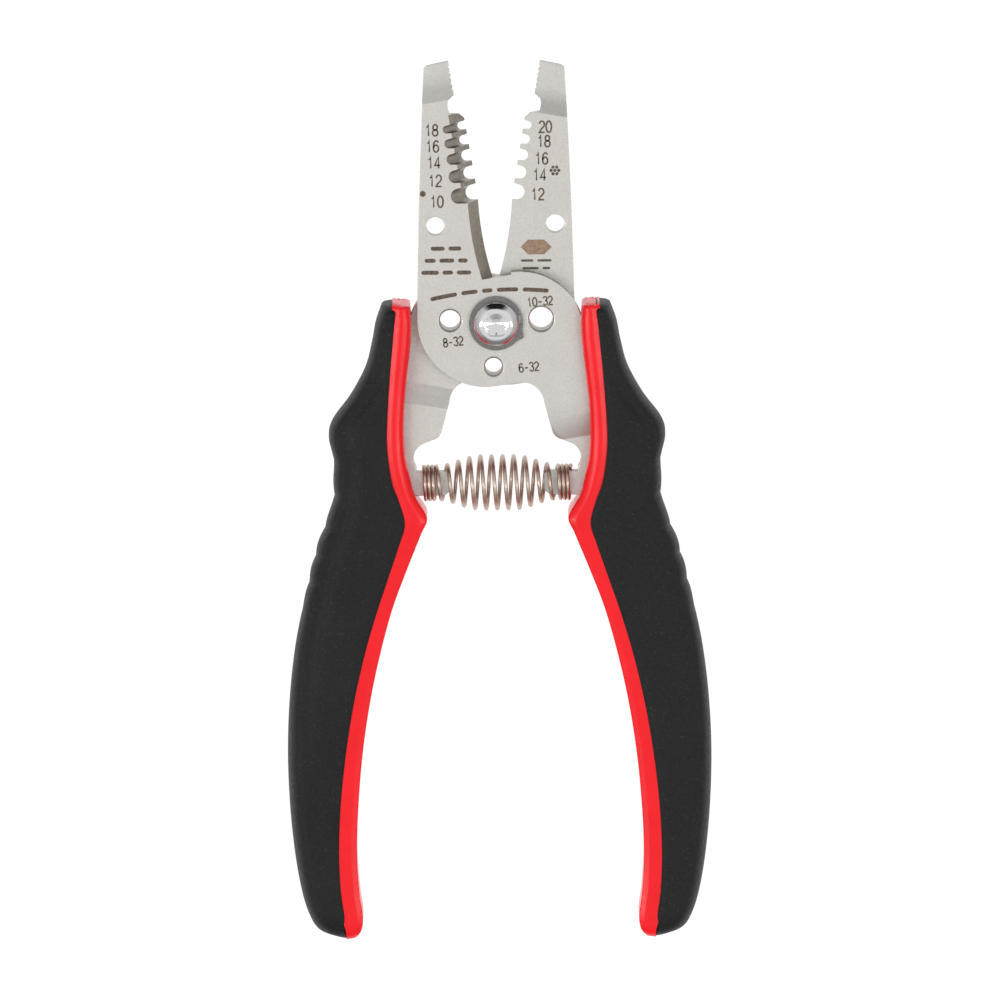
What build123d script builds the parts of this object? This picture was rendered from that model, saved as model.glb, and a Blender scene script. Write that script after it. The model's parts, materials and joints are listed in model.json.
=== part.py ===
"""Wire stripper: two stamped levers on one pivot bolt, a barrel return spring and two-colour handles.

The tool lies flat on the backs of its handles with the jaws towards +Y and a little open. Each lever is
drawn in a local frame with its origin at the pivot. The rear lever is the same stamping turned over.
Millimetres.
"""
import os
from math import cos, pi, radians, sin, tan

from build123d import *

# ---- driving dimensions -------------------------------------------------------------------------
PIVOT_Y = 37.12           # pivot above the middle of the tool's length
HANDLE_HALF = 7.5         # half the thickness of the black grips
PIVOT_Z = HANDLE_HALF     # contact plane of the two blades, with the grips' backs at z = 0
HALF_OPEN = 9.5           # each lever stands this many degrees away from closed at rest

PLATE = 3.0               # sheet thickness of both levers
FRONT_NOSE_CREASE = 47.4  # crease where the sheet steps down to level the noses, in the closed frame
REAR_NOSE_CREASE = 44.2
FRONT_TANG_CREASE = -26.5 # crease that ends the step to the middle of the handles' thickness
REAR_TANG_CREASE = -19.5
BEND_RUN = 4.4            # length of each step along the lever
CREASE_R = 0.4
EASY_BEND_R = 14.0        # the step's other end eases back to flat

LAND = 0.85               # cutting edges pass the centre line by this much when closed
CUTTER_BEVEL = 2.15       # width of the cutter's bevel across the sheet
STRIPPER_BEVEL = 3.1      # width of the bevel that the wire notches are cut in
CUTTER_FOOT = 10.0        # lowest point of the cutting edge
CUTTER_HOLLOW = 0.55      # the cutting edge is this much hollow along its length
NOTCH_RADII = (0.8, 0.95, 1.1, 1.3, 1.55)
FIRST_NOTCH = 41.4        # centre of the smallest wire notch
TOOTH = 1.25              # steel left between two notches
NOTCH_FLARE = 1.2         # each notch opens by this much a side over its mouth's length
NOTCH_MOUTH = 8.0
NOTCH_SLANT = 46          # degrees that the notches lean outwards from the edge
STRIPPER_END = 44.3       # end of the notched bevel, at the recess below the nose
BEAK = 48.2               # end of the gripping nose next to the loop recess
NOSE_TIP = 55.0
NOSE_GAP = 0.4            # half the gap left between the closed noses
SERRATIONS = 5
SERRATION_PITCH = 1.1
SERRATION_DEPTH = 0.35
CLEAR = 4.0               # how far cutting shapes reach past the metal they remove
BEVEL_RUNOUT = 0.6        # the cutter bevel runs on below the cutting edge
LOOP_HOLE_R = 1.9
LOOP_HOLE_AT = (-8.85, 22.0)

SHEAR_HOLES = {           # clearance radius of each screw size, and its place at rest
    "10-32": (2.45, (9.3, 0.8)),
    "8-32": (2.12, (-9.5, 0.6)),
    "6-32": (1.79, (-0.6, -9.1)),
}
RIM_CHAMFER = 0.35

SHANK_R = 3.0
RUNNING_CLEARANCE = 0.05
THREAD_R = 2.5
WASHER_R = 5.6
WASHER_THICK = 0.8
WASHER_TAB = ((3.3, -4.2), (5.7, -3.0), (5.0, 0.6), (2.0, 0.0))
WASHER_SLOT = (1.9, 0.55)
WASHER_SLOT_AT = (4.95, 0.7)
HEAD_R = 4.6
HEAD_RIM_R = 3.2
HEAD_LIP = 0.4            # upright edge of the head under its dome
HEAD_CROWN = (4.15, PLATE + WASHER_THICK + 1.4)  # point halfway up the dome
HEAD_HEIGHT = 2.3
HEX_SOCKET = 4.76         # across flats
SOCKET_DEPTH = 1.8
DRILL_POINT = 1.1         # depth of the cone at the bottom of the socket
NUT_FLATS = 9.5
NUT_THICK = 2.6

SPRING_Y = -33.6          # spring axis below the pivot
WIRE_R = 0.4
SPRING_END_R = 3.42       # mean coil radius over the lugs
SPRING_MID_R = 5.45
SPRING_HALF = 15.4        # half its length at rest, between the wire's two ends
CLOSED_COILS = 2          # touching coils at each end, over the lug
CLOSED_PITCH = 0.86
CONE_COILS = 4            # coils that widen towards the middle, each side
MID_COILS = 3
POINTS_PER_COIL = 8
POCKET_R = 4.3            # room around the spring's end in the handle mouldings

LUG_WIDTH = 5.0
LUG_TIP = 9.7
LUG_ROOT = 19.0

CORE_HALF = 6.9           # half thickness of the red strip
CORE_FILLET = 1.8
CORE_WEB_HALF = 4.6       # half thickness of the red core under the black grip
WEB_ROOT = 1.2            # the web starts this far inside the red strip
GRIP_WALL = 3.2           # black over-moulding over the core's outer edge
GRIP_FILLET = 4.2

REST = Plane(origin=(0, PIVOT_Y, PIVOT_Z))
FRONT = REST
REAR = Plane(origin=(0, PIVOT_Y, PIVOT_Z), x_dir=(-1, 0, 0), z_dir=(0, 0, -1))


def closed_frame(lever_plane):
    """The lever's own frame: its edge stands along local Y, and the lever leans open from there."""
    turn = radians(HALF_OPEN)
    return Plane(origin=lever_plane.origin, z_dir=lever_plane.z_dir,
                 x_dir=lever_plane.x_dir * cos(turn) + lever_plane.y_dir * sin(turn))


def handle_inner_edge():
    """Inner edge of the right-hand handle at rest, from its top to its end."""
    return [(17.8, 3.8), (17.6, -1), (18.6, -12), (19.2, -20), (18.9, -28), (17.6, -33.4), (15.3, -37.6),
            (14.8, -40.2), (16.2, -44.4), (20.1, -54.2), (24.6, -69), (27.7, -83.3), (29.4, -100),
            (29.5, -114), (28.4, -126)]


def colour_line():
    """Line on the faces where the red strip meets the black grip, from the top to the end."""
    return [(20.7, 4.0), (21.8, -8), (22.8, -22), (22.0, -31.5), (20.0, -38.6), (19.3, -43),
            (21.8, -50), (26.0, -62.5), (29.3, -75), (32.2, -91.7), (33.3, -107), (33.0, -119),
            (32.2, -128.3)]


def grip_outer_edge():
    """Outer edge of the right-hand grip, from its top to its end, with the thumb guard near the top."""
    return [(23.2, 3.2), (24.8, -1), (26.4, -8), (29.2, -13.8), (33.6, -19.6), (34.7, -22.8),
            (34.0, -28), (34.3, -36), (36.4, -43), (39.2, -53), (42.2, -67), (43.9, -84),
            (43.6, -101), (42.0, -115), (39.7, -124), (36.2, -127.9), (32.2, -128.3)]


def inset(points, amount):
    """Move an outer edge inwards, towards smaller x, by the given amount."""
    return [(x - amount, y) for x, y in points]


def bent_sheet(plane, nose_crease, tang_crease):
    """Side profile of the pressed sheet, swept across the lever: flat, with the nose and tang stepped."""
    step = -PLATE / 2
    creases = [(tang_crease, step), (nose_crease, 0)]
    easy_bends = [(tang_crease + BEND_RUN, 0), (nose_crease + BEND_RUN, step)]
    lower = [(-120, step), *sorted(creases + easy_bends), (NOSE_TIP + 5, step)]
    upper = [(y, z + PLATE) for y, z in reversed(lower)]
    side = Plane(origin=plane.origin, x_dir=plane.y_dir, z_dir=plane.x_dir)
    with BuildPart() as sheet:
        with BuildSketch(side) as profile:
            Polygon(*lower, *upper, align=None)
            for bends, radius in ((creases, CREASE_R), (easy_bends, EASY_BEND_R)):
                for bend_y, bend_z in bends:
                    fillet(profile.vertices().filter_by_position(Axis.X, bend_y, bend_y), radius=radius)
        extrude(amount=60, both=True)
    return sheet.part


def notch_centres():
    """Notch centres up the edge, each a tooth's width clear of the last."""
    centres = [FIRST_NOTCH]
    for upper, lower in zip(NOTCH_RADII, NOTCH_RADII[1:]):
        centres.append(centres[-1] - upper - TOOTH - lower)
    return centres


def cutter_top():
    """Upper end of the cutting edge, where it runs into the lowest notch."""
    return notch_centres()[-1] - NOTCH_RADII[-1] / 2


def beside_cutter(plane, setback):
    """Sketch of the space beside the hollow cutting edge, set back from it by the given amount."""
    edge, top, foot = LAND - setback, cutter_top(), CUTTER_FOOT - BEVEL_RUNOUT
    with BuildSketch(plane) as region:
        with BuildLine():
            ThreePointArc((edge, foot), (edge - CUTTER_HOLLOW, (CUTTER_FOOT + top) / 2), (edge, top))
            Polyline((edge, top), (LAND + CLEAR, top), (LAND + CLEAR, foot), (edge, foot))
        make_face()
    return region.sketch


def stamped_lever(plane, nose_crease, tang_crease, pivot_hole_r):
    """One lever: jaw, pivot plate, tang and spring lug, bent from a single sheet."""
    closed = closed_frame(plane)
    sheet = bent_sheet(closed, nose_crease, tang_crease)
    beside_edge = beside_cutter(closed, 0), beside_cutter(closed.offset(PLATE), CUTTER_BEVEL)
    slant = radians(NOTCH_SLANT)
    notch_dir = closed.z_dir * cos(slant) - closed.x_dir * sin(slant)
    notch_start = PLATE * tan(slant)
    with BuildPart() as lever:
        with BuildSketch(closed):
            with BuildLine():
                Line((1.8, 9.6), (LAND, CUTTER_FOOT))
                ThreePointArc((LAND, CUTTER_FOOT), (LAND - CUTTER_HOLLOW, (CUTTER_FOOT + cutter_top()) / 2),
                              (LAND, cutter_top()))
                Polyline((LAND, cutter_top()), (LAND, 42.9), (-0.1, 44.0), (-2.0, 44.4))
                ThreePointArc((-2.0, 44.4), (-2.1, 45.9), (-1.7, 47.3))
                Polyline((-1.7, 47.3), (-NOSE_GAP, BEAK), (-NOSE_GAP, NOSE_TIP), (-4.9, NOSE_TIP - 0.2))
                ThreePointArc((-4.9, NOSE_TIP - 0.2), (-5.5, 54.4), (-5.8, 53.7))
                ThreePointArc((-5.8, 53.7), (-11.4, 27.3), (-16.0, 3.2))
                ThreePointArc((-16.0, 3.2), (-12.0, -8.8), (-3.3, -12.9))
                Line((-3.3, -12.9), (3.0, -13.1))
                ThreePointArc((3.0, -13.1), (5.9, -14.7), (6.9, -18.0))
                Line((6.9, -18.0), (7.5, -24.0))
                ThreePointArc((7.5, -24.0), (8.0, -25.5), (9.2, -26.4))
                Line((9.2, -26.4), (11.0, -27.5))
                ThreePointArc((11.0, -27.5), (12.4, -30.0), (11.4, -32.6))
                Spline((11.4, -32.6), (11.9, -42.0), (16.6, -61.6), (17.7, -79.0), (17.0, -99.0))
                ThreePointArc((17.0, -99.0), (20.2, -103.4), (23.6, -99.6))
                Spline((23.6, -99.6), (25.4, -80.3), (24.6, -62.0), (22.0, -44.0), (22.4, -30.0),
                       (22.0, -18.9), (19.6, -8.0), (17.6, -1.4))
                ThreePointArc((17.6, -1.4), (12.6, 7.1), (1.8, 9.6))
            make_face()
        extrude(amount=10, both=True)
        with BuildSketch(plane):
            lug_root_half = LUG_WIDTH / 2
            with Locations((0, SPRING_Y)):
                Polygon((LUG_ROOT, lug_root_half), (LUG_ROOT, -lug_root_half),
                        (LUG_TIP + 1.2, -lug_root_half), (LUG_TIP, -lug_root_half + 1.0),
                        (LUG_TIP, lug_root_half - 1.0), (LUG_TIP + 1.2, lug_root_half), align=None)
        extrude(amount=10, both=True)
        add(sheet, mode=Mode.INTERSECT)

        with BuildSketch(closed.offset(-PLATE)):
            for y, radius in zip(notch_centres(), NOTCH_RADII):
                with Locations((notch_start, y)):
                    Circle(radius)
                    Polygon((0, -radius), (NOTCH_MOUTH, -radius - NOTCH_FLARE),
                            (NOTCH_MOUTH, radius + NOTCH_FLARE), (0, radius), align=None)
        extrude(amount=4 * PLATE, dir=notch_dir, mode=Mode.SUBTRACT)

        loft(beside_edge, ruled=True, mode=Mode.SUBTRACT)
        with BuildSketch(Plane(origin=closed.from_local_coords((0, cutter_top(), 0)),
                               x_dir=closed.x_dir, z_dir=-closed.y_dir)):
            Polygon((LAND, 0), (LAND - STRIPPER_BEVEL, PLATE), (LAND - STRIPPER_BEVEL, PLATE + CLEAR),
                    (LAND + CLEAR, PLATE + CLEAR), (LAND + CLEAR, 0), align=None)
        extrude(amount=-(STRIPPER_END - cutter_top()), mode=Mode.SUBTRACT)

        with BuildSketch(closed):
            with Locations((-NOSE_GAP, BEAK + SERRATION_PITCH)):
                for tooth in range(SERRATIONS):
                    y = tooth * SERRATION_PITCH
                    Polygon((0.1, y - SERRATION_PITCH / 2), (0.1, y + SERRATION_PITCH / 2),
                            (-SERRATION_DEPTH, y), align=None)
            with Locations(LOOP_HOLE_AT):
                Circle(LOOP_HOLE_R)
            Circle(pivot_hole_r)
        extrude(amount=10, both=True, mode=Mode.SUBTRACT)
        with BuildSketch(REST):
            for radius, place in SHEAR_HOLES.values():
                with Locations(place):
                    Circle(radius)
        extrude(amount=10, both=True, mode=Mode.SUBTRACT)
    return lever.part


os.makedirs("parts", exist_ok=True)

# ---- the two levers -----------------------------------------------------------------------------
front_stamping = stamped_lever(FRONT, FRONT_NOSE_CREASE, FRONT_TANG_CREASE, SHANK_R)
with BuildPart() as front_blade:
    add(front_stamping)
    for radius, place in SHEAR_HOLES.values():
        with BuildSketch(REST.offset(PLATE)):
            with Locations(place):
                Circle(radius + RIM_CHAMFER)
        extrude(amount=-RIM_CHAMFER, taper=45, mode=Mode.SUBTRACT)
front_blade.part.label = "front_blade"
export_step(front_blade.part, "parts/front_blade.step")

rear_stamping = stamped_lever(REAR, REAR_NOSE_CREASE, REAR_TANG_CREASE, SHANK_R + RUNNING_CLEARANCE)
with BuildPart() as rear_blade:
    add(rear_stamping)
rear_blade.part.label = "rear_blade"
export_step(rear_blade.part, "parts/rear_blade.step")

# ---- pivot --------------------------------------------------------------------------------------
head_seat = PLATE + WASHER_THICK
shoulder = -PLATE - RUNNING_CLEARANCE
nut_seat = shoulder - WASHER_THICK
bolt_end = nut_seat - NUT_THICK - 0.4

with BuildPart() as pivot_bolt:
    with BuildSketch(Plane(origin=REST.origin, x_dir=(1, 0, 0), z_dir=(0, -1, 0))):
        with BuildLine():
            Polyline((0, bolt_end), (THREAD_R - 0.4, bolt_end), (THREAD_R, bolt_end + 0.4),
                     (THREAD_R, shoulder), (SHANK_R, shoulder), (SHANK_R, head_seat),
                     (HEAD_R, head_seat), (HEAD_R, head_seat + HEAD_LIP))
            ThreePointArc((HEAD_R, head_seat + HEAD_LIP), HEAD_CROWN,
                          (HEAD_RIM_R, head_seat + HEAD_HEIGHT))
            Polyline((HEAD_RIM_R, head_seat + HEAD_HEIGHT), (0, head_seat + HEAD_HEIGHT), (0, bolt_end))
        make_face()
    revolve(axis=Axis((0, PIVOT_Y, 0), (0, 0, 1)))
    with BuildSketch(REST.offset(head_seat + HEAD_HEIGHT)):
        RegularPolygon(HEX_SOCKET / 2, 6, major_radius=False)
    extrude(amount=-SOCKET_DEPTH, mode=Mode.SUBTRACT)
    socket_floor = head_seat + HEAD_HEIGHT - SOCKET_DEPTH
    with BuildSketch(Plane(origin=REST.origin, x_dir=(1, 0, 0), z_dir=(0, -1, 0))):
        Polygon((0, socket_floor), (HEX_SOCKET / 2, socket_floor), (0, socket_floor - DRILL_POINT),
                align=None)
    revolve(axis=Axis((0, PIVOT_Y, 0), (0, 0, 1)), mode=Mode.SUBTRACT)
pivot_bolt.part.label = "pivot_bolt"
export_step(pivot_bolt.part, "parts/pivot_bolt.step")

with BuildPart() as head_washer:
    with BuildSketch(REST.offset(PLATE)) as washer_blank:
        Circle(WASHER_R)
        Polygon(*WASHER_TAB, align=None)
        fillet(washer_blank.vertices(), radius=0.3)
        Circle(SHANK_R, mode=Mode.SUBTRACT)
        with Locations(WASHER_SLOT_AT):
            SlotOverall(*WASHER_SLOT, rotation=90, mode=Mode.SUBTRACT)
    extrude(amount=WASHER_THICK)
head_washer.part.label = "head_washer"
export_step(head_washer.part, "parts/head_washer.step")

with BuildPart() as nut_washer:
    with BuildSketch(REST.offset(nut_seat)):
        Circle(WASHER_R)
        Circle(THREAD_R, mode=Mode.SUBTRACT)
    extrude(amount=WASHER_THICK)
nut_washer.part.label = "nut_washer"
export_step(nut_washer.part, "parts/nut_washer.step")

with BuildPart() as pivot_nut:
    with BuildSketch(REST.offset(nut_seat - NUT_THICK)):
        RegularPolygon(NUT_FLATS / 2, 6, major_radius=False)
        Circle(THREAD_R, mode=Mode.SUBTRACT)
    extrude(amount=NUT_THICK)
    chamfer(pivot_nut.faces().sort_by(Axis.Z)[0].outer_wire().edges(), length=0.4)
pivot_nut.part.label = "pivot_nut"
export_step(pivot_nut.part, "parts/pivot_nut.step")

# ---- return spring ------------------------------------------------------------------------------
coils = 2 * (CLOSED_COILS + CONE_COILS) + MID_COILS
open_pitch = 2 * (SPRING_HALF - CLOSED_COILS * CLOSED_PITCH) / (2 * CONE_COILS + MID_COILS)


def coil_point(turn):
    """Point on the wire's centre line after the given number of turns: a barrel with closed ends."""
    from_end = min(turn, coils - turn)
    widening = min(max((from_end - CLOSED_COILS) / CONE_COILS, 0), 1)
    radius = SPRING_END_R + (SPRING_MID_R - SPRING_END_R) * (1 - cos(pi * widening)) / 2
    closed_length = min(from_end, CLOSED_COILS) * CLOSED_PITCH
    along = SPRING_HALF - closed_length - max(from_end - CLOSED_COILS, 0) * open_pitch
    side = -1 if turn < coils / 2 else 1
    return (side * along, SPRING_Y + radius * cos(2 * pi * turn), radius * sin(2 * pi * turn))


with BuildPart() as return_spring:
    with BuildLine() as wire_line:
        turns = [step / POINTS_PER_COIL for step in range(coils * POINTS_PER_COIL + 1)]
        Spline(*[REST.from_local_coords(coil_point(turn)) for turn in turns])
    with BuildSketch(Plane(origin=wire_line.line @ 0, z_dir=wire_line.line % 0)):
        Circle(WIRE_R)
    sweep(is_frenet=True)
return_spring.part.label = "return_spring"
export_step(return_spring.part, "parts/return_spring.step")

# ---- handles ------------------------------------------------------------------------------------
def rim_edges(part, direction):
    """The edges of the front and back faces that lie furthest in the given direction."""
    faces = part.faces().filter_by(Axis.Z).sort_by(Axis.Z)
    outwards = Axis((0, 0, 0), direction)
    return [face.edges().sort_by(outwards)[-1] for face in (faces[0], faces[-1])]


def handle_core(plane, blade):
    """Hard inner moulding: a full-depth strip along the inner edge and a web under the black grip."""
    inner, line = handle_inner_edge(), colour_line()
    web_root = inset(line[1:-1], WEB_ROOT)
    web_edge = inset(grip_outer_edge()[2:-2], GRIP_WALL)
    with BuildPart() as core:
        with BuildSketch(plane):
            with BuildLine():
                Spline(*inner)
                ThreePointArc(inner[-1], (30.0, -128.2), line[-1])
                Spline(*line)
                Line(line[0], inner[0])
            make_face()
        extrude(amount=CORE_HALF, both=True)
        fillet(rim_edges(core, -plane.x_dir), radius=CORE_FILLET)
        with BuildSketch(plane):
            with BuildLine():
                Spline(*web_root)
                Line(web_root[-1], web_edge[-1])
                Spline(*web_edge)
                Line(web_edge[0], web_root[0])
            make_face()
        extrude(amount=CORE_WEB_HALF, both=True)
        spring_axis = Plane(origin=plane.from_local_coords((LUG_TIP, SPRING_Y, 0)),
                            z_dir=plane.x_dir)
        with BuildSketch(spring_axis):
            Circle(POCKET_R)
        extrude(amount=SPRING_HALF + 0.5 - LUG_TIP, mode=Mode.SUBTRACT)
        add(blade, mode=Mode.SUBTRACT)
    return core.part


def grip(plane, blade, core):
    """Soft outer moulding, closed over the core's web and rounded along its outer edge."""
    line, outer = colour_line(), grip_outer_edge()
    with BuildPart() as cover:
        with BuildSketch(plane):
            with BuildLine():
                Spline(*line)
                Spline(*outer)
                Line(line[0], outer[0])
            make_face()
        extrude(amount=HANDLE_HALF, both=True)
        fillet(rim_edges(cover, plane.x_dir), radius=GRIP_FILLET)
        add(core, mode=Mode.SUBTRACT)
        add(blade, mode=Mode.SUBTRACT)
    return cover.part


front_moulding = handle_core(FRONT, front_blade.part)
with BuildPart() as front_handle_core:
    add(front_moulding)
front_handle_core.part.label = "front_handle_core"
export_step(front_handle_core.part, "parts/front_handle_core.step")

rear_moulding = handle_core(REAR, rear_blade.part)
with BuildPart() as rear_handle_core:
    add(rear_moulding)
rear_handle_core.part.label = "rear_handle_core"
export_step(rear_handle_core.part, "parts/rear_handle_core.step")

front_cover = grip(FRONT, front_blade.part, front_handle_core.part)
with BuildPart() as front_grip:
    add(front_cover)
front_grip.part.label = "front_grip"
export_step(front_grip.part, "parts/front_grip.step")

rear_cover = grip(REAR, rear_blade.part, rear_handle_core.part)
with BuildPart() as rear_grip:
    add(rear_cover)
rear_grip.part.label = "rear_grip"
export_step(rear_grip.part, "parts/rear_grip.step")
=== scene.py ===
"""Looks of the wire stripper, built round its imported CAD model. Sizes are in millimetres until they
reach Blender, and places are measured from the pivot at rest."""
import json
from math import cos, degrees, pi, radians, sin

import bmesh
import bpy
import numpy as np
from mathutils import Matrix, Vector

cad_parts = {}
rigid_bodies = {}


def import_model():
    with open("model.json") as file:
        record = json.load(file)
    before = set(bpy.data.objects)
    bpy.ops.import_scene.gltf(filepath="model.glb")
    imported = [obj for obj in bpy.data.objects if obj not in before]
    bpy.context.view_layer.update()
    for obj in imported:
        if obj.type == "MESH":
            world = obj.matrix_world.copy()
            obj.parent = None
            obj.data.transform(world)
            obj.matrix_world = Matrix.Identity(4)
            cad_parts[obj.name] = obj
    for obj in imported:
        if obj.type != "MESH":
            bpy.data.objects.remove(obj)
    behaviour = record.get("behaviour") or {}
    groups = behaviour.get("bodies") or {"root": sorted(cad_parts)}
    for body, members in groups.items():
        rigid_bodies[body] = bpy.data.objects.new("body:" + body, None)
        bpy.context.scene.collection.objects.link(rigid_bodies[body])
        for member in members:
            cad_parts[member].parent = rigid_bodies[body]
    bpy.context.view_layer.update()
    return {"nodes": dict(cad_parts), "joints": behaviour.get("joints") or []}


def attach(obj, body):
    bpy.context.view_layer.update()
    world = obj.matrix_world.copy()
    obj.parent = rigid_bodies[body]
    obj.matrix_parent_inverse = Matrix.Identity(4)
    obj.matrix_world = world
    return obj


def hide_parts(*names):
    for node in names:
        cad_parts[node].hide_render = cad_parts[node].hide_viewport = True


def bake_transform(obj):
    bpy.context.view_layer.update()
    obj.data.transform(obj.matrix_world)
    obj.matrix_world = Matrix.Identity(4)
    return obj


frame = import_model()

MM = 0.001
JOINT = frame["joints"][0]
PIVOT = Vector(JOINT["pos_m"])
FRONT, REAR = JOINT["child"], JOINT["parent"]
PLATE = 3.0                 # sheet thickness of both levers
HALF_OPEN = JOINT["range_deg"][1] / 2
GRIP_HALF = PIVOT.z / MM    # half the thickness of the handles


def at(x, y, z=0.0):
    """Point in the frame, in metres, from millimetres off the pivot at rest."""
    return PIVOT + Vector((x, y, z)) * MM


# ---- camera, stage and light ---------------------------------------------------------------------
CAMERA_TILT = 8.0           # degrees off straight down, from the jaws' side
CAMERA_ROLL = -0.48         # degrees
CAMERA_DISTANCE = 4.0       # metres
LENS, SENSOR = 696.0, 36.0
AIM = (0.5, -37.3)          # the point it looks at, from the pivot
FLOOR_REACH = 3             # metres from the middle to each side
FLOOR_GREY, FLOOR_GLOW = 0.12, 0.97
DOME_STRENGTH = 0.84
# The dome's dimming along each axis: from and to where, and the strengths there.
DOME_FADES = (("Y", 0.66, 0.90, DOME_STRENGTH, 0.02), ("Y", -0.85, -0.45, 0.5, 1.0),
              ("Z", 0.05, 0.50, 0.55, 1.0))
BOX_PLACE, BOX_SIZE = (0.8, -0.1, 1.0), (0.2, 1.0)      # metres, the right-hand one
LEFT_POWER, RIGHT_POWER = 4.2, 3.0                      # watts


def make_camera():
    tilt = radians(CAMERA_TILT)
    back = Vector((0, sin(tilt), cos(tilt)))
    up = Vector((0, cos(tilt), -sin(tilt)))
    level = Matrix((Vector((1, 0, 0)), up, back)).transposed()
    turn = level @ Matrix.Rotation(radians(CAMERA_ROLL), 3, "Z")
    data = bpy.data.cameras.new("camera")
    data.lens, data.sensor_width = LENS, SENSOR
    data.clip_start, data.clip_end = 0.01, 20
    camera = bpy.data.objects.new("camera", data)
    camera.matrix_world = Matrix.Translation(at(*AIM) + back * CAMERA_DISTANCE) @ turn.to_4x4()
    bpy.context.scene.collection.objects.link(camera)
    bpy.context.scene.camera = camera


def soft_box(name, side, power):
    """A rectangular light on one side, turned to the frame's origin."""
    data = bpy.data.lights.new(name, "AREA")
    data.shape, data.size, data.size_y, data.energy = "RECTANGLE", *BOX_SIZE, power
    lamp = bpy.data.objects.new(name, data)
    lamp.location = Vector((side * BOX_PLACE[0], *BOX_PLACE[1:]))
    lamp.rotation_euler = (-lamp.location).to_track_quat("-Z", "Y").to_euler()
    bpy.context.scene.collection.objects.link(lamp)


def make_stage():
    mesh = bpy.data.meshes.new("floor")
    corners = [(x * FLOOR_REACH, y * FLOOR_REACH, 0) for x, y in ((-1, -1), (1, -1), (1, 1), (-1, 1))]
    mesh.from_pydata(corners, [], [(0, 1, 2, 3)])
    floor = bpy.data.objects.new("floor", mesh)
    bpy.context.scene.collection.objects.link(floor)
    mat = bpy.data.materials.new("floor_white")
    mat.use_nodes = True
    bsdf = mat.node_tree.nodes["Principled BSDF"]
    bsdf.inputs["Base Color"].default_value = (FLOOR_GREY, FLOOR_GREY, FLOOR_GREY, 1)
    bsdf.inputs["Roughness"].default_value = 0.9
    bsdf.inputs["Specular IOR Level"].default_value = 0
    bsdf.inputs["Emission Color"].default_value = (1, 1, 1, 1)
    bsdf.inputs["Emission Strength"].default_value = FLOOR_GLOW
    mesh.materials.append(mat)


def make_light():
    """A white dome that dims towards the horizon and beyond the jaws, and soft boxes on both sides."""
    world = bpy.data.worlds.new("studio")
    bpy.context.scene.world = world
    world.use_nodes = True
    nodes, links = world.node_tree.nodes, world.node_tree.links
    coords = nodes.new("ShaderNodeTexCoord")
    split = nodes.new("ShaderNodeSeparateXYZ")
    links.new(coords.outputs["Generated"], split.inputs[0])
    fades = []
    for axis, start, stop, low, high in DOME_FADES:
        fade = nodes.new("ShaderNodeMapRange")
        fade.interpolation_type = "SMOOTHSTEP"
        fade.inputs["From Min"].default_value, fade.inputs["From Max"].default_value = start, stop
        fade.inputs["To Min"].default_value, fade.inputs["To Max"].default_value = low, high
        links.new(split.outputs[axis], fade.inputs["Value"])
        fades.append(fade)
    strength = fades[0].outputs["Result"]
    for fade in fades[1:]:
        product = nodes.new("ShaderNodeMath")
        product.operation = "MULTIPLY"
        links.new(strength, product.inputs[0])
        links.new(fade.outputs["Result"], product.inputs[1])
        strength = product.outputs[0]
    nodes["Background"].inputs["Color"].default_value = (1, 1, 1, 1)
    links.new(strength, nodes["Background"].inputs["Strength"])
    soft_box("left_box", -1, LEFT_POWER)
    soft_box("right_box", 1, RIGHT_POWER)


# ---- materials -----------------------------------------------------------------------------------
class Shader:
    """A Principled material with short ways to add noise, colour ramps and bumps."""

    def __init__(self, name, color, roughness, metallic=0.0, specular=0.5):
        self.mat = bpy.data.materials.new(name)
        self.mat.use_nodes = True
        self.tree = self.mat.node_tree
        self.bsdf = self.tree.nodes["Principled BSDF"]
        values = {"Base Color": (*color, 1), "Roughness": roughness, "Metallic": metallic,
                  "Specular IOR Level": specular}
        for socket, value in values.items():
            self.bsdf.inputs[socket].default_value = value
        self.coords = self.tree.nodes.new("ShaderNodeTexCoord")
        self.normal = None

    def noise(self, scale, detail=3.0, roughness=0.55):
        node = self.tree.nodes.new("ShaderNodeTexNoise")
        node.inputs["Scale"].default_value = scale
        node.inputs["Detail"].default_value = detail
        node.inputs["Roughness"].default_value = roughness
        self.tree.links.new(self.coords.outputs["Object"], node.inputs["Vector"])
        return node.outputs["Fac"]

    def ramp(self, source, stops):
        node = self.tree.nodes.new("ShaderNodeValToRGB")
        while len(node.color_ramp.elements) < len(stops):
            node.color_ramp.elements.new(0.5)
        for element, (place, color) in zip(node.color_ramp.elements, stops):
            element.position = place
            element.color = (*color, 1)
        self.tree.links.new(source, node.inputs[0])
        return node.outputs["Color"]

    def mix(self, kind, factor, first, second):
        node = self.tree.nodes.new("ShaderNodeMix")
        node.data_type, node.blend_type = "RGBA", kind
        node.inputs["Factor"].default_value = factor
        self.tree.links.new(first, node.inputs["A"])
        self.tree.links.new(second, node.inputs["B"])
        return node.outputs["Result"]

    def spread(self, source, low, high):
        """Noise, which mostly runs from 0.3 to 0.7, brought to run from low to high."""
        node = self.tree.nodes.new("ShaderNodeMapRange")
        for socket, value in (("From Min", 0.3), ("From Max", 0.7), ("To Min", low), ("To Max", high)):
            node.inputs[socket].default_value = value
        self.tree.links.new(source, node.inputs["Value"])
        return node.outputs["Result"]

    def bump(self, source, strength, distance):
        node = self.tree.nodes.new("ShaderNodeBump")
        node.inputs["Strength"].default_value = strength
        node.inputs["Distance"].default_value = distance
        self.tree.links.new(source, node.inputs["Height"])
        if self.normal is not None:
            self.tree.links.new(self.normal, node.inputs["Normal"])
        self.normal = node.outputs["Normal"]
        self.tree.links.new(self.normal, self.bsdf.inputs["Normal"])

    def feed(self, socket, source):
        self.tree.links.new(source, self.bsdf.inputs[socket])


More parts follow.
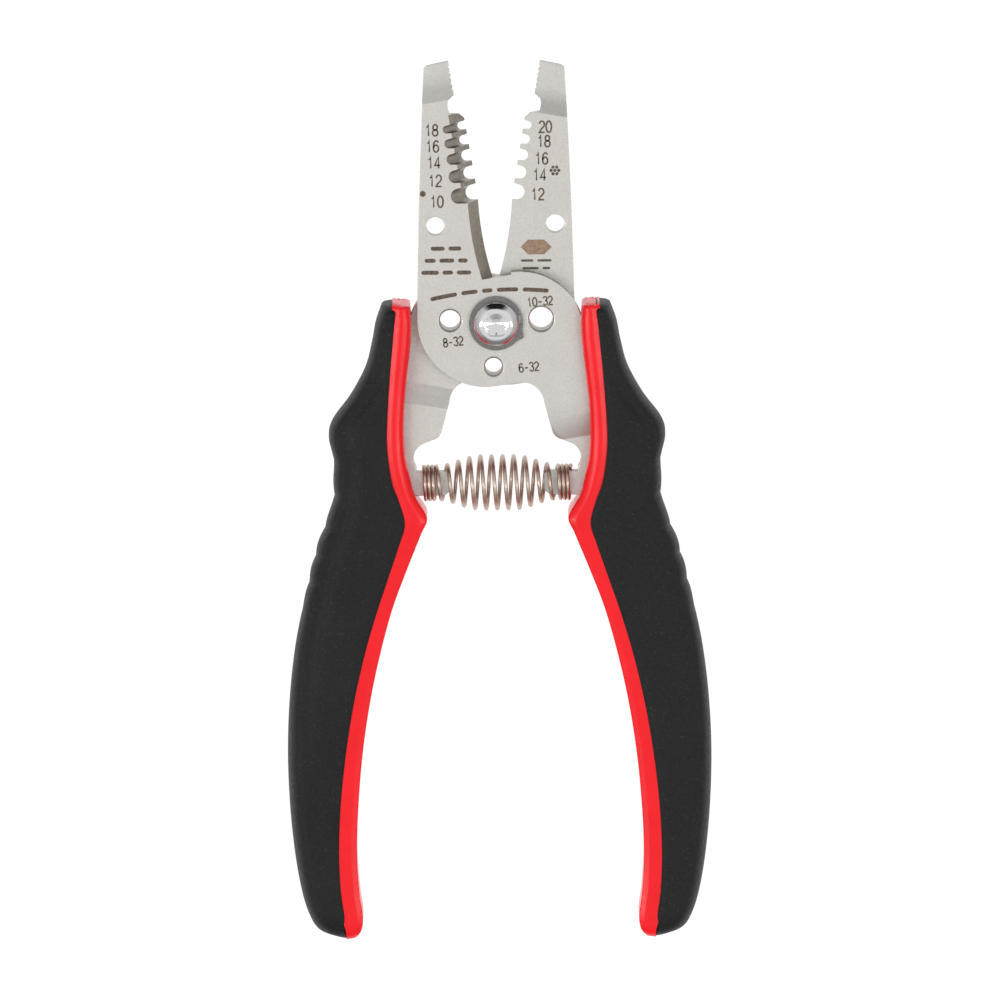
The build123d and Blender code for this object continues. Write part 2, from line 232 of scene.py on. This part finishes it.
def satin_steel(name, light, dark, roughness, blotches=0.25):
    """Blasted or ground stainless steel: an even fine mottle, with faint blotches under it."""
    shader = Shader(name, light, roughness, metallic=1.0)
    grain = shader.ramp(shader.noise(2300, 3, 0.6), [(0.36, dark), (0.60, light)])
    blotch = shader.ramp(shader.noise(260, 4, 0.6), [(0.3, dark), (0.62, light)])
    shader.feed("Base Color", shader.mix("MIX", blotches, grain, blotch))
    shader.feed("Roughness", shader.spread(shader.noise(1500, 3, 0.6), roughness - 0.06, roughness + 0.08))
    shader.bump(shader.noise(3400, 2, 0.6), 0.14, 0.00004)
    return shader.mat


def make_materials():
    made = {}
    made["face_steel"] = satin_steel("face_steel", (0.60, 0.585, 0.555), (0.53, 0.51, 0.475), 0.46)
    # Sheared edge walls: a darker steel than the faces, as painted shade that draws dark outlines round
    # the plates.
    made["shaded_edge_steel"] = satin_steel("shaded_edge_steel", (0.50, 0.48, 0.45), (0.36, 0.34, 0.31), 0.42)
    # Ground bevels and notches in a darker steel: a real ground finish, plus painted shade in the notch
    # scoops and on the lugs inside the spring's coils.
    made["ground_and_shaded_steel"] = satin_steel("ground_and_shaded_steel", (0.41, 0.38, 0.335), (0.30, 0.27, 0.235), 0.36)
    made["washer_steel"] = satin_steel("washer_steel", (0.22, 0.215, 0.208), (0.15, 0.146, 0.14), 0.32)
    made["spring_wire"] = satin_steel("spring_wire", (0.56, 0.46, 0.385), (0.42, 0.33, 0.27), 0.34)

    chrome = Shader("chrome", (0.78, 0.78, 0.79), 0.06, metallic=1.0)
    chrome.feed("Roughness", chrome.spread(chrome.noise(900, 4), 0.03, 0.12))
    chrome.bump(chrome.noise(500, 2), 0.05, 0.00003)
    made["chrome"] = chrome.mat

    red = Shader("red_plastic", (0.90, 0.009, 0.016), 0.24, specular=0.26)
    red.feed("Base Color", red.ramp(red.noise(160, 4), [(0.3, (0.86, 0.008, 0.013)),
                                                        (0.7, (0.94, 0.010, 0.018))]))
    red.feed("Roughness", red.spread(red.noise(700, 3), 0.21, 0.28))
    red.bump(red.noise(220, 1, 0.3), 0.10, 0.00012)
    made["red_plastic"] = red.mat

    rubber = Shader("black_rubber", (0.009, 0.0092, 0.0095), 0.5, specular=0.21)
    tone = rubber.ramp(rubber.noise(90, 4), [(0.3, (0.007, 0.0072, 0.0074)),
                                             (0.7, (0.011, 0.0112, 0.0115))])
    speck = rubber.ramp(rubber.noise(2300, 2, 0.7), [(0.60, (0, 0, 0)), (0.76, (0.03, 0.031, 0.032))])
    rubber.feed("Base Color", rubber.mix("ADD", 1.0, tone, speck))
    rubber.feed("Roughness", rubber.spread(rubber.noise(1400, 3), 0.44, 0.60))
    rubber.bump(rubber.noise(2500, 3, 0.65), 0.8, 0.00014)
    rubber.bump(rubber.noise(520, 2), 0.15, 0.00012)
    made["black_rubber"] = rubber.mat

    for name, light, dark in (("etched_mark", (0.17, 0.125, 0.09), (0.07, 0.05, 0.038)),
                              ("etched_plaque", (0.36, 0.25, 0.165), (0.24, 0.165, 0.11))):
        ink = Shader(name, light, 0.55, metallic=0.4)
        ink.feed("Base Color", ink.ramp(ink.noise(1700, 4), [(0.35, dark), (0.65, light)]))
        made[name] = ink.mat
    return made


# ---- mesh helpers --------------------------------------------------------------------------------
def new_piece(name, mesh, body, replaces=()):
    piece = bpy.data.objects.new(name, mesh)
    bpy.context.scene.collection.objects.link(piece)
    if body:
        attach(piece, body)
    if replaces:
        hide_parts(*replaces)
    return piece


def smooth_by_angle(mesh, angle):
    mesh.polygons.foreach_set("use_smooth", [True] * len(mesh.polygons))
    mesh.set_sharp_from_angle(angle=radians(angle))


KEPT_ANGLE, BROKEN_ANGLE = 24, 50   # sharper edges look crisp: where edges are kept, and elsewhere
WELD = 2e-6                         # metres
FLAT_ANGLE = 0.6                    # faces this many degrees apart become one


def broken_edges(node, width, sharp, kinds=None, keep=None):
    """A copy of a CAD node's mesh with its sharp edges broken by a small round and flat faces kept
    flat. kinds gives a face's material index from its normal and centre, and keep says where edges
    stay as sharp as they are."""
    bm = bmesh.new()
    bm.from_mesh(frame["nodes"][node].data)
    bmesh.ops.remove_doubles(bm, verts=bm.verts, dist=WELD)
    bmesh.ops.dissolve_limit(bm, angle_limit=radians(FLAT_ANGLE), verts=bm.verts, edges=bm.edges)
    bm.normal_update()
    for face in bm.faces:
        face.material_index = kinds(face.normal, face.calc_center_median()) if kinds else 0
    edges = [e for e in bm.edges if len(e.link_faces) == 2 and e.calc_face_angle(0) > radians(sharp)]
    if keep:
        edges = [e for e in edges if not any(keep(v.co) for v in e.verts)]
    bmesh.ops.bevel(bm, geom=edges, offset=width * MM, segments=2, profile=0.6, affect="EDGES",
                    clamp_overlap=keep is None)
    bmesh.ops.remove_doubles(bm, verts=bm.verts, dist=1e-6)
    bmesh.ops.triangulate(bm, faces=[f for f in bm.faces if len(f.verts) > 4])
    for face in bm.faces:
        face.smooth = True
    for edge in bm.edges:
        limit = KEPT_ANGLE if keep and any(keep(v.co) for v in edge.verts) else BROKEN_ANGLE
        edge.smooth = len(edge.link_faces) == 2 and edge.calc_face_angle(0) < radians(limit)
    mesh = bpy.data.meshes.new(node + "_edges")
    bm.to_mesh(mesh)
    bm.free()
    holder = bpy.data.objects.new(node + "_edges", mesh)
    bpy.context.scene.collection.objects.link(holder)
    holder.modifiers.new("flat_faces", "WEIGHTED_NORMAL").keep_sharp = True
    bpy.context.view_layer.update()
    evaluated = holder.evaluated_get(bpy.context.evaluated_depsgraph_get())
    finished = bpy.data.meshes.new_from_object(evaluated)
    bpy.data.objects.remove(holder)
    return finished


def through(points, count):
    """A smooth curve through the points (Catmull-Rom), sampled evenly in its own steps."""
    p = np.array(points, float)
    p = np.vstack([2 * p[0] - p[1], p, 2 * p[-1] - p[-2]])
    t = np.linspace(0, len(points) - 1, count)
    i = np.minimum(t.astype(int), len(points) - 2)
    u = (t - i)[:, None]
    a, b, c, d = p[i], p[i + 1], p[i + 2], p[i + 3]
    return 0.5 * (2 * b + (c - a) * u + (2 * a - 5 * b + 4 * c - d) * u ** 2
                  + (3 * b - a - 3 * c + d) * u ** 3)


def loft(name, rings):
    """Closed mesh through rings of equally many points, with a flat cap on each end."""
    count, around = len(rings), len(rings[0])
    verts = [tuple(p) for ring in rings for p in ring]
    faces = []
    for i in range(count - 1):
        for j in range(around):
            k = (j + 1) % around
            faces.append((i * around + j, i * around + k, (i + 1) * around + k, (i + 1) * around + j))
    faces.append(tuple(range(around))[::-1])
    faces.append(tuple(range((count - 1) * around, count * around)))
    mesh = bpy.data.meshes.new(name)
    mesh.from_pydata(verts, [], faces)
    bm = bmesh.new()
    bm.from_mesh(mesh)
    bmesh.ops.recalc_face_normals(bm, faces=bm.faces)
    bm.to_mesh(mesh)
    bm.free()
    return mesh


# ---- handles -------------------------------------------------------------------------------------
# Matching points down the right-hand handle: the red strip's inner edge, the colour line, the black
# grip's outer edge.
STATIONS = [
    ((17.8, 3.9), (20.6, 4.1), (23.6, 3.9)),
    ((17.5, 0.5), (21.0, 0.5), (24.9, 0.2)),
    ((17.7, -4.0), (21.4, -4.0), (25.7, -4.0)),
    ((18.3, -9.5), (21.95, -9.5), (27.1, -9.2)),
    ((18.9, -15.0), (22.4, -15.0), (30.2, -15.0)),
    ((19.2, -20.0), (22.7, -20.0), (34.0, -20.2)),
    ((19.2, -24.0), (22.8, -24.2), (34.8, -23.8)),
    ((18.9, -28.0), (22.4, -29.0), (33.9, -28.3)),
    ((18.0, -32.2), (21.6, -33.3), (34.0, -33.3)),
    ((17.0, -35.8), (20.3, -36.8), (34.4, -37.8)),
    ((14.6, -40.1), (19.2, -41.3), (36.0, -42.4)),
    ((15.9, -43.6), (20.4, -45.7), (37.5, -46.6)),
    ((18.9, -51.0), (22.6, -52.2), (39.0, -52.2)),
    ((21.9, -59.0), (25.2, -59.9), (40.6, -59.5)),
    ((24.4, -68.0), (27.7, -68.4), (42.25, -68.0)),
    ((26.6, -78.0), (30.0, -78.4), (43.4, -78.0)),
    ((28.3, -89.0), (31.8, -89.2), (43.9, -89.0)),
    ((29.3, -100.0), (33.0, -100.2), (43.6, -100.0)),
    ((29.7, -110.0), (33.4, -110.0), (42.7, -110.0)),
    ((29.3, -118.0), (33.1, -118.0), (41.4, -118.0)),
    ((28.6, -123.5), (32.3, -123.6), (39.9, -123.2)),
    ((29.0, -126.4), (31.9, -126.4), (37.9, -126.5)),
    ((30.3, -128.15), (32.0, -128.35), (34.4, -127.9)),
]
SECTIONS = 320
SMOOTH_ANGLE = 50
CORE_CREST = 6.95           # half thickness of the red strip's flat top
CORE_RIDGE = 0.42           # where the strip's ridge runs, as a share of its width from the colour line
CORE_DROP = 2.1             # how far the strip rolls down to its inner wall
LINE_DROP = 0.35            # how far it falls from the ridge to the colour line
BEAD_POWER = 2.1
LOW_FROM, LOW_FADE = -34, 12    # below here the bead turns into a flat with a sloping facet
FACET_FROM, FACET_DROP = 0.68, 0.42
FACET_EDGE, FACET_POWER = 0.7, 7
CORE_LAP, LAP_FADE = 0.8, 6     # how far the strip runs on under the grip, less at the bottom end
FLASH_LENGTH = 2.6          # ragged end of the moulding at the top
FLASH_LUMP, FLASH_LIFT = 0.06, 0.10
ROLL, ROLL_SHARE = 3.6, 0.62    # how far in the black grip starts to roll over, and the most of its width
ROLL_POWER = 2.3
SEAM_WIDTH, SEAM_DROP = 1.1, 0.55   # the grip dips where it meets the red strip
VALLEY_DEPTH, VALLEY_WIDTH, VALLEY_AT = 0.95, 1.7, 0.92     # a soft dip where the roll starts
RIPPLE_PITCH, RIPPLE_TOP, RIPPLE_DEPTH = 6.3, -32.1, 0.45
RIPPLE_END = -62


def end_round(distance, radius, power=2.0):
    """Share of full thickness at a distance from a rounded end."""
    d = np.clip(distance / radius, 0, 1)
    return (1 - (1 - d) ** power) ** (1 / power)


def handle_curves():
    inner, line, outer = (through([row[k] for row in STATIONS], SECTIONS) for k in range(3))
    steps = np.linalg.norm(np.diff(line, axis=0), axis=1)
    along = np.concatenate([[0], np.cumsum(steps)])
    return inner, line, outer, along


def ripple(y):
    """Height of the finger ripples down the outer edge: rounded crests with narrow dips."""
    phase = (y - RIPPLE_TOP) / RIPPLE_PITCH
    wave = np.abs(np.sin(pi * (phase + 0.5))) ** 0.7
    fade = np.clip((RIPPLE_TOP + 4 - y) / 4, 0, 1) * np.clip((y - RIPPLE_END) / 9, 0, 1)
    return (wave - 1) * RIPPLE_DEPTH * fade


def grip_mesh(side, body):
    """Soft black over-moulding: flat faces that roll over to the outer edge, with finger ripples."""
    inner, line, outer, along = handle_curves()
    total = along[-1]
    shares = np.concatenate([np.linspace(0, 0.4, 8)[:-1], 1 - np.linspace(0.6 ** 0.5, 0, 36) ** 2])
    rings = []
    for k in range(SECTIONS):
        chord = outer[k] - line[k]
        width = np.linalg.norm(chord)
        y = line[k][1]
        thickness = GRIP_HALF * (0.35 + 0.65 * end_round(along[k] + 0.35, 2.2)) \
            * (0.25 + 0.75 * end_round(total - along[k] + 0.1, 6.5, 2.4))
        roll = min(ROLL, ROLL_SHARE * width)
        depth = shares * width
        into = np.clip((depth - (width - roll)) / roll, 0, 1)
        height = thickness * (1 - into ** ROLL_POWER) ** (1 / ROLL_POWER)
        seam = np.clip(depth / SEAM_WIDTH, 0, 1)
        height -= SEAM_DROP * (1 - seam) ** 2 * thickness / GRIP_HALF
        hollow = np.exp(-((depth - (width - roll * VALLEY_AT)) / VALLEY_WIDTH) ** 2)
        valley = np.clip((2.5 - y) / 4, 0, 1) * np.clip((y + 95) / 30, 0, 1)
        height -= VALLEY_DEPTH * valley * hollow * np.clip(width / 6, 0, 1)
        push = ripple(y) * np.clip(into * 1.6, 0, 1)
        place = line[k] + chord * shares[:, None] + (chord / width) * push[:, None]
        height = np.maximum(height + 0.7 * push, 0)
        top = [at(side * p[0], p[1], h) for p, h in zip(place, height)]
        bottom = [at(side * p[0], p[1], -h) for p, h in zip(place[:-1], height[:-1])]
        rings.append(top + bottom[::-1])
    return loft(body + "_grip_soft", rings)


def core_mesh(side, body):
    """Hard red moulding: a beaded strip with a straight inner wall and a ragged moulded top."""
    inner, line, outer, along = handle_curves()
    total = along[-1]
    shares = np.linspace(0, 1, 22) ** 1.8
    rings = []
    for k in range(SECTIONS):
        chord = line[k] - inner[k]
        width = np.linalg.norm(chord)
        ends = (0.84 + 0.16 * end_round(along[k] + 0.1, 0.7)) \
            * (0.5 + 0.5 * end_round(total - along[k] + 0.1, 4.0, 2.4))
        low = np.clip((LOW_FROM - line[k][1]) / LOW_FADE, 0, 1)
        inwards = np.clip(1 - shares / (1 - CORE_RIDGE), 0, 1)
        outwards = np.clip((shares - 1 + CORE_RIDGE) / CORE_RIDGE, 0, 1)
        rolled = 1 - (1 - inwards ** BEAD_POWER) ** (1 / BEAD_POWER)
        beaded = CORE_DROP * rolled + LINE_DROP * outwards ** 2
        facet = np.clip(1 - shares / (1 - FACET_FROM), 0, 1)
        faceted = FACET_DROP * facet + FACET_EDGE * (1 - (1 - facet ** FACET_POWER) ** (1 / FACET_POWER))
        fall = beaded * (1 - low) + faceted * low
        height = (CORE_CREST - fall) * ends
        lap = CORE_LAP * np.clip((total - along[k]) / LAP_FADE, 0.1, 1)
        reach = np.concatenate([shares[:-1], [1 + lap / width]])
        place = inner[k] + chord * reach[:, None]
        rag = max(0.0, 1 - along[k] / FLASH_LENGTH)
        lumps = np.sin(place[:, 0] * 5.1 + side) + 0.7 * np.sin(place[:, 0] * 9.7 + place[:, 1] * 3 + 2)
        height += rag * FLASH_LUMP * lumps
        lift = rag ** 2 * FLASH_LIFT * lumps
        top = [at(side * p[0], p[1] + r, h) for p, h, r in zip(place, height, lift)]
        bottom = [at(side * p[0], p[1] + 0.5 * r, -h) for p, h, r in zip(place, height, lift)]
        rings.append(top + bottom[::-1])
    return loft(body + "_core_hard", rings)


def make_handles(mats):
    for side, body, name in ((1, FRONT, "front"), (-1, REAR, "rear")):
        grip = grip_mesh(side, name)
        smooth_by_angle(grip, SMOOTH_ANGLE)
        grip.materials.append(mats["black_rubber"])
        new_piece(name + "_grip_soft", grip, body, [name + "_grip"])
        core = core_mesh(side, name)
        smooth_by_angle(core, SMOOTH_ANGLE)
        core.materials.append(mats["red_plastic"])
        new_piece(name + "_core_hard", core, body, [name + "_handle_core"])


# ---- steel ---------------------------------------------------------------------------------------
# Material slots: blasted faces; edge walls darkened as painted shade; ground faces, darkened in the
# notches and on the lugs as painted shade.
FACE, SHADED_EDGE, GROUND_AND_SHADE = 0, 1, 2
JAW_EDGE = -5.0             # the bevels and notches lie inside this line beside the closed jaws' edge
LUG_REACH = 16.5            # the spring's lugs lie inside this much of the centre line
GROUND_REGION = (9.0, 44.6)     # how far up the closed jaws the ground faces run
CRISP_REGION = (8.0, 56.0)      # the same for the edges that stay crisp
BLADE_BREAK, WASHER_BREAK, NUT_BREAK = 0.17, 0.1, 0.15  # widths of the broken edges


def near_jaw_edge(side, point, foot, tip):
    closed = Matrix.Rotation(-side * radians(HALF_OPEN), 3, "Z") @ ((point - PIVOT) / MM)
    return side * closed.x > JAW_EDGE and foot < closed.y < tip


def steel_kinds(side):
    """Flat faces and bends are blasted; sheared edges are rougher and get a darker steel as painted shade;
    bevels and notches are ground, and they and the lugs inside the coil get a darker steel, partly as
    painted shade.
    """
    def kind(normal, centre):
        place = (centre - PIVOT) / MM
        lean = abs(normal.z)
        if lean < 0.05:
            return SHADED_EDGE
        # The lugs sit inside the spring's coils and get the darker steel as painted shade.
        shaded_lug = abs(place.x) < LUG_REACH and abs(place.y - SPRING_Y) < 3
        return GROUND_AND_SHADE if shaded_lug or (near_jaw_edge(side, centre, *GROUND_REGION) and lean < 0.85) else FACE
    return kind


def make_blades(mats):
    for name, body, side in (("front", FRONT, 1), ("rear", REAR, -1)):
        mesh = broken_edges(name + "_blade", BLADE_BREAK, 20, steel_kinds(side),
                            lambda point, side=side: near_jaw_edge(side, point, *CRISP_REGION))
        for kind in ("face_steel", "shaded_edge_steel", "ground_and_shaded_steel"):
            mesh.materials.append(mats[kind])
        new_piece(name + "_blade_steel", mesh, body, [name + "_blade"])


HEAD_R, HEAD_TOP = 4.6, 6.1             # the bolt head's radius, and its top above the levers' contact
CROWN_RIM, CROWN_FOOT, CROWN_FALL = 3.2, 4.3, 1.15  # where the crown starts and ends, and its fall
CROWN_POWER = 1.1


def crisp_copy(node):
    """A copy of the bolt's mesh with its edges left sharp and the crown of its head a little flatter."""
    bm = bmesh.new()
    bm.from_mesh(frame["nodes"][node].data)
    bmesh.ops.remove_doubles(bm, verts=bm.verts, dist=WELD)
    for vertex in bm.verts:
        out = (vertex.co.xy - PIVOT.xy).length / MM
        if out > CROWN_RIM + 0.01 and vertex.co.z > PIVOT.z + CROWN_FOOT * MM:
            slope = ((out - CROWN_RIM) / (HEAD_R - CROWN_RIM)) ** CROWN_POWER
            vertex.co.z = PIVOT.z + (HEAD_TOP - CROWN_FALL * slope) * MM
    mesh = bpy.data.meshes.new(node + "_crisp")
    bm.to_mesh(mesh)
    bm.free()
    smooth_by_angle(mesh, KEPT_ANGLE)
    return mesh


def make_pivot(mats):
    for node, width, mat, slot in (("pivot_bolt", 0, "chrome", "chrome"),
                                   ("head_washer", WASHER_BREAK, "washer_steel", "washer_steel"),
                                   ("nut_washer", WASHER_BREAK, "washer_steel", "washer_steel"),
                                   ("pivot_nut", NUT_BREAK, "washer_steel", "washer_steel")):
        mesh = broken_edges(node, width, 25) if width else crisp_copy(node)
        mesh.materials.append(mats[mat])
        new_piece(node + "_finish", mesh, FRONT, [node])


# ---- return spring -------------------------------------------------------------------------------
SPRING_Y = -33.6
WIRE_R = 0.4
SPRING_END_R, SPRING_MID_R = 3.42, 5.45
SPRING_HALF = 15.2
CLOSED_COILS, CONE_COILS, MID_COILS = 3, 4, 3
CLOSED_PITCH = 0.86
STEPS_PER_COIL, AROUND = 40, 12


def coil_point(turn, coils, open_pitch):
    from_end = min(turn, coils - turn)
    widening = min(max((from_end - CLOSED_COILS) / CONE_COILS, 0), 1)
    radius = SPRING_END_R + (SPRING_MID_R - SPRING_END_R) * (1 - cos(pi * widening)) / 2
    along = SPRING_HALF - min(from_end, CLOSED_COILS) * CLOSED_PITCH \
        - max(from_end - CLOSED_COILS, 0) * open_pitch
    side = -1 if turn < coils / 2 else 1
    return (side * along, SPRING_Y + radius * cos(2 * pi * turn), radius * sin(2 * pi * turn))


def make_spring(mats):
    """The barrel coil, with its two closed ends placed round the levers' lugs and the open coils widening
    between them.
    """
    coils = 2 * (CLOSED_COILS + CONE_COILS) + MID_COILS
    open_pitch = 2 * (SPRING_HALF - CLOSED_COILS * CLOSED_PITCH) / (2 * CONE_COILS + MID_COILS)
    turns = np.linspace(0, coils, coils * STEPS_PER_COIL + 1)
    path = np.array([coil_point(t, coils, open_pitch) for t in turns])
    tangent = np.gradient(path, axis=0)
    tangent /= np.linalg.norm(tangent, axis=1)[:, None]
    rings = []
    for point, ahead in zip(path, tangent):
        outward = point - np.array([point[0], SPRING_Y, 0])
        outward -= ahead * (outward @ ahead)
        outward /= np.linalg.norm(outward)
        across = np.cross(ahead, outward)
        rings.append([at(*(point + WIRE_R * (outward * cos(a) + across * sin(a))))
                      for a in np.linspace(0, 2 * pi, AROUND, endpoint=False)])
    mesh = loft("return_spring_coil", rings)
    smooth_by_angle(mesh, SMOOTH_ANGLE)
    mesh.materials.append(mats["spring_wire"])
    spring = new_piece("return_spring_coil", mesh, None, ["return_spring"])
    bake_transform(spring)


# ---- etched marks --------------------------------------------------------------------------------
MARK_DEPTH, MARK_SINK = 0.014, 0.004    # how thick the marks are, and how far they start under the face
DIGIT_HEIGHT, DIGIT_WIDTH, DIGIT_STEP = 2.35, 1.12, 1.42
STROKE = 0.35


def arc_points(x, y, rx, ry, start, stop, count=11):
    """Points along an elliptic arc between two angles in degrees."""
    angles = [radians(start + (stop - start) * k / (count - 1)) for k in range(count)]
    return [(x + rx * cos(a), y + ry * sin(a)) for a in angles]


# Strokes of each sign in a box one unit high and wide, and whether each stroke is a closed loop.
SIGNS = {
    "0": [(arc_points(0.5, 0.5, 0.5, 0.5, 0, 340, 18), True)],
    "1": [([(0.16, 0.76), (0.40, 0.82), (0.54, 1.0), (0.54, 0.0)], False)],
    "2": [(arc_points(0.5, 0.70, 0.46, 0.30, 170, -30) + [(0.30, 0.24), (0.04, 0.0), (1.0, 0.0)], False)],
    "3": [(arc_points(0.5, 0.76, 0.44, 0.24, 165, -85), False),
          (arc_points(0.5, 0.27, 0.48, 0.27, 88, -165), False)],
    "4": [([(1.04, 0.27), (0.02, 0.27), (0.72, 1.0), (0.72, 0.0)], False)],
    "6": [(arc_points(0.5, 0.31, 0.46, 0.31, 0, 340, 16), True),
          ([(0.05, 0.36)] + arc_points(0.55, 0.52, 0.50, 0.48, 180, 40, 8), False)],
    "8": [(arc_points(0.5, 0.76, 0.40, 0.24, 0, 340, 14), True),
          (arc_points(0.5, 0.27, 0.48, 0.27, 0, 340, 14), True)],
    "-": [([(0.10, 0.44), (0.90, 0.44)], False)],
}


def placed(points, x, y, turn):
    c, s = cos(turn), sin(turn)
    return [(x + c * px - s * py, y + s * px + c * py) for px, py in points]


def ribbon(points, width, closed=False):
    """A line of even width through the points, as (points, faces)."""
    count, p = len(points), [Vector(q) for q in points]
    sides = []
    for k in range(count):
        before = p[k - 1] if k or closed else p[0] * 2 - p[1]
        after = p[(k + 1) % count] if k < count - 1 or closed else p[-1] * 2 - p[-2]
        ahead, behind = (after - p[k]).normalized(), (p[k] - before).normalized()
        mean = (ahead + behind).normalized()
        out = Vector((-mean.y, mean.x)) * width / 2 / max(mean.dot(ahead), 0.5)
        sides += [tuple(p[k] + out), tuple(p[k] - out)]
    last = count if closed else count - 1
    return sides, [(2 * k, 2 * k + 1, (2 * k + 3) % (2 * count), (2 * k + 2) % (2 * count))
                   for k in range(last)]


def number(text, x, y, scale=1.0, turn=0.0):
    """A number centred on a point of the plate, drawn in strokes."""
    found, start = [], -(len(text) - 1) / 2 * DIGIT_STEP
    for k, sign in enumerate(text):
        for points, closed in SIGNS[sign]:
            drawn = [(scale * (start + k * DIGIT_STEP + (px - 0.5) * DIGIT_WIDTH),
                      scale * (py - 0.5) * DIGIT_HEIGHT) for px, py in points]
            found.append(ribbon(placed(drawn, x, y, turn), STROKE * (0.5 + 0.5 * scale), closed))
    return found


def disc(x, y, radius, count=20):
    points = [(x + radius * cos(2 * pi * k / count), y + radius * sin(2 * pi * k / count))
              for k in range(count)]
    return points, [tuple(range(count))]


def bar(x, y, length, height, turn=0.0):
    """A dash with round ends."""
    half, end = length / 2 - height / 2, height / 2
    points = arc_points(half, 0, end, end, -90, 90, 7) + arc_points(-half, 0, end, end, 90, 270, 7)
    return placed(points, x, y, turn), [tuple(range(len(points)))]


def dashes(x, y, lengths, height, gap=0.75):
    """A row of dashes centred on a point, standing for a line of print."""
    cursor, found = x - (sum(lengths) + gap * (len(lengths) - 1)) / 2, []
    for length in lengths:
        found.append(bar(cursor + length / 2, y, length, height))
        cursor += length + gap
    return found


def arc_dashes(x, y, radius, lengths, height, middle, gap=0.9):
    """Dashes with round ends bent round a centre, standing for a curved line of print."""
    cursor, end, found = -(sum(lengths) + gap * (len(lengths) - 1)) / 2, height / 2, []
    for length in lengths:
        start, stop = (middle - degrees((cursor + place) / radius) for place in (end, length - end))
        points = []
        for reach, first, last in ((radius + end, start, stop), (radius - end, stop, start)):
            points += arc_points(x, y, reach, reach, first, last, 9)
            turn = last if reach > radius else last + 180
            tip = x + radius * cos(radians(last)), y + radius * sin(radians(last))
            points += arc_points(*tip, end, end, turn, turn - 180, 7)[1:-1]
        found.append((points, [tuple(range(len(points)))]))
        cursor += length + gap
    return found


def lozenge(x, y, length, height):
    """A plain six-sided plaque."""
    end = height / 2
    points = [(-length / 2, 0), (-length / 2 + end, -end), (length / 2 - end, -end), (length / 2, 0),
              (length / 2 - end, end), (-length / 2 + end, end)]
    return [(x + px, y + py) for px, py in points], [tuple(range(6))]


def marks_mesh(name, shapes, level):
    """Thin closed shapes lying on a plate's face at the given height."""
    bm = bmesh.new()
    for points, faces in shapes:
        verts = [bm.verts.new(at(px, py, level - MARK_SINK)) for px, py in points]
        made = [bm.faces.new([verts[i] for i in face]) for face in faces]
        lifted = bmesh.ops.extrude_face_region(bm, geom=made)
        rise = Vector((0, 0, MARK_DEPTH * MM))
        tops = [g for g in lifted["geom"] if isinstance(g, bmesh.types.BMVert)]
        bmesh.ops.translate(bm, vec=rise, verts=tops)
    bmesh.ops.recalc_face_normals(bm, faces=bm.faces)
    mesh = bpy.data.meshes.new(name)
    bm.to_mesh(mesh)
    bm.free()
    return mesh


def make_marks(mats):
    """Wire-gauge and screw-size numbers, a dot for solid wire, seven for stranded, and plain dashes
    where the print carries words."""
    front = []
    for text, x, y in (("18", -12.95, 40.2), ("16", -12.8, 36.85), ("14", -12.55, 33.45),
                       ("12", -12.3, 29.7), ("10", -12.0, 25.35)):
        front += number(text, x, y)
    for text, x, y, turn in (("8-32", -8.9, -3.8, 7), ("10-32", 9.1, 4.45, 5), ("6-32", 6.7, -9.2, 6)):
        front += number(text, x, y, 0.76, radians(turn))
    front.append(disc(-14.9, 27.0, 0.62))
    for row, lengths in enumerate(((2.9, 2.7), (2.3, 3.1, 2.0), (3.6, 2.2, 3.0))):
        front += dashes(-10.2, 15.6 - 2.5 * row, lengths, 0.85)
    front += arc_dashes(3.6, -67.9, 74.9, (5.6, 3.4, 2.2, 4.4, 5.4), 0.85, 93.8)
    rear = []
    for text, x, y in (("20", 10.5, 40.4), ("18", 10.2, 37.4), ("16", 9.7, 33.8), ("14", 9.25, 30.4),
                       ("12", 8.85, 26.4)):
        rear += number(text, x, y)
    strand, middle = 0.34, (12.4, 31.3)
    rear.append(disc(*middle, strand))
    rear += [disc(*point, strand) for point in arc_points(*middle, 2.3 * strand, 2.3 * strand, 0, 300, 6)]
    rear += dashes(8.4, 12.6, (2.6, 3.0), 0.5) + dashes(8.4, 11.0, (3.4, 1.6), 0.5)
    plaque = [lozenge(8.4, 15.4, 6.4, 3.1)]
    for name, shapes, level, body, mat in (
            ("front_scale_marks", front, PLATE, FRONT, "etched_mark"),
            ("rear_scale_marks", rear, 0.0, REAR, "etched_mark"),
            ("rear_plain_plaque", plaque, 0.0, REAR, "etched_plaque")):
        mesh = marks_mesh(name, shapes, level)
        mesh.materials.append(mats[mat])
        new_piece(name, mesh, body)


bpy.context.scene.view_settings.view_transform = "Standard"
make_camera()
make_stage()
make_light()
materials = make_materials()
make_handles(materials)
make_blades(materials)
make_pivot(materials)
make_spring(materials)
make_marks(materials)
